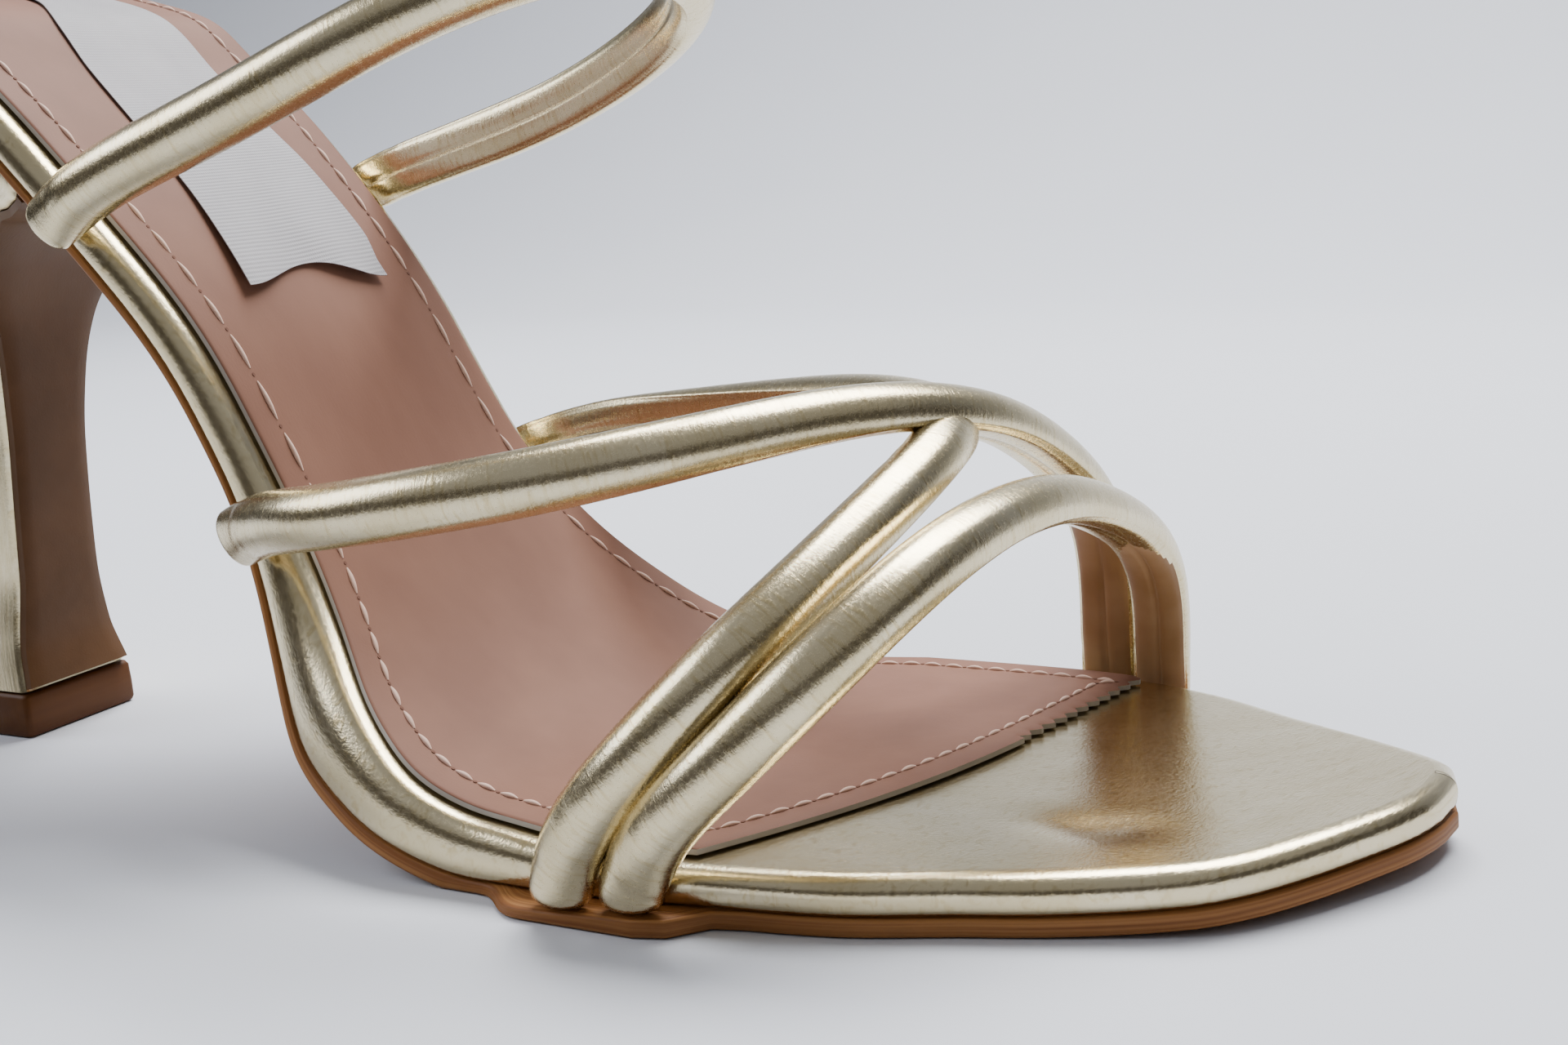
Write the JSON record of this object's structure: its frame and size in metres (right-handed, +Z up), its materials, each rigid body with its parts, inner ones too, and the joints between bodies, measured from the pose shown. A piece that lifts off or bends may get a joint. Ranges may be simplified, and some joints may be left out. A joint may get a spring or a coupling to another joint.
{
  "type": "heeled sandal",
  "caption": "Right strappy heeled sandal in champagne gold: three tube straps over the forefoot, an instep loop, a padded footbed and a flared high heel.",
  "frame": {"origin": "centre of the shoe's bounding box on the floor it stands on", "axes": "+X from the heel to the toe, +Y towards the inner (big toe) side of the foot, +Z up"},
  "size_m": [0.2142, 0.0856, 0.1041],
  "materials": {
    "gold_coated_leather": "metallic champagne gold foil coat, glossy, fine creases across the straps",
    "nude_sock_lining": "smooth matt nude pink lining sheet, stitched edge",
    "tan_outsole": "matt tan moulded sole",
    "tan_top_piece": "satin tan moulded top piece"
  },
  "bodies": {
    "root": {"outsole": "tan_outsole", "footbed": "gold_coated_leather", "insole_sock": "nude_sock_lining", "upper": "gold_coated_leather", "instep_loop": "gold_coated_leather", "heel": "gold_coated_leather", "heel_breast_flap": "tan_outsole", "top_piece": "tan_top_piece"}
  },
  "joints": []
}
